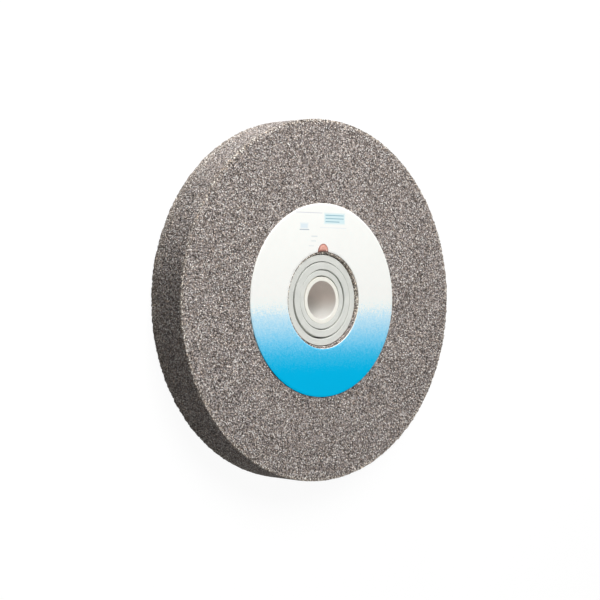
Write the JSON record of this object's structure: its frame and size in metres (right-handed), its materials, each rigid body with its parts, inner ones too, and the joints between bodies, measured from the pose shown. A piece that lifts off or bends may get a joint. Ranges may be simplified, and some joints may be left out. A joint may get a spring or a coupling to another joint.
{
  "type": "bench grinding wheel",
  "caption": "Flat vitrified grinding wheel with a paper blotter on each face and nested plastic reducing bushes that narrow its hole to a grinder's spindle.",
  "frame": {"origin": "centre of the wheel, on the spindle axis and half way between its two faces", "axes": "+Z along the spindle axis, out of the printed face, and +Y towards the top of the print, with the wheel lying on its rear face"},
  "size_m": [0.125, 0.125, 0.0168],
  "materials": {
    "vitrified_abrasive": "matte",
    "printed_paper": "satin",
    "plain_paper": "matte",
    "grey_plastic": "satin",
    "ivory_plastic": "satin",
    "mark_paint": "matte"
  },
  "bodies": {
    "root": {"abrasive_wheel": "vitrified_abrasive", "front_blotter": "printed_paper", "rear_blotter": "plain_paper", "outer_bush": "grey_plastic", "middle_bush": "grey_plastic", "inner_bush": "grey_plastic", "arbor_bush": "ivory_plastic"}
  },
  "joints": []
}
